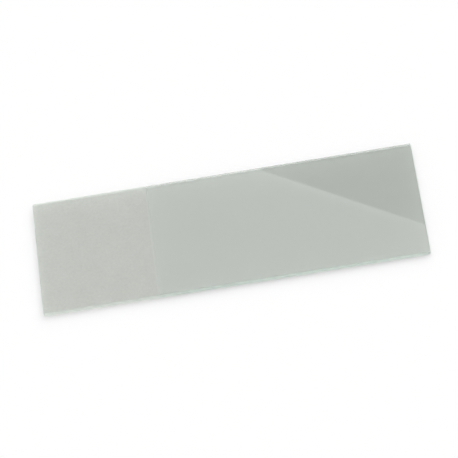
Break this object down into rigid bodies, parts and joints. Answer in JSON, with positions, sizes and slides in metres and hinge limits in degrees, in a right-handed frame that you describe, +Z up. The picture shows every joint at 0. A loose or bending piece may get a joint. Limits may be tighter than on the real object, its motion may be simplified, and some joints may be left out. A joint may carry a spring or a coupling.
{
  "type": "microscope slide",
  "caption": "Plain rectangular glass microscope slide with ground edges and a frosted marking area at one end, lying flat.",
  "frame": {"origin": "centre of the underside, on the surface that the slide lies on", "axes": "+X along the length towards the clear end, +Y across the width, +Z up out of the frosted face"},
  "size_m": [0.0762, 0.0254, 0.0011],
  "materials": {
    "clear_glass": "polished faces, matt ground edges and one etched, frosted end"
  },
  "bodies": {
    "root": {"glass_slide": "clear_glass"}
  },
  "joints": []
}
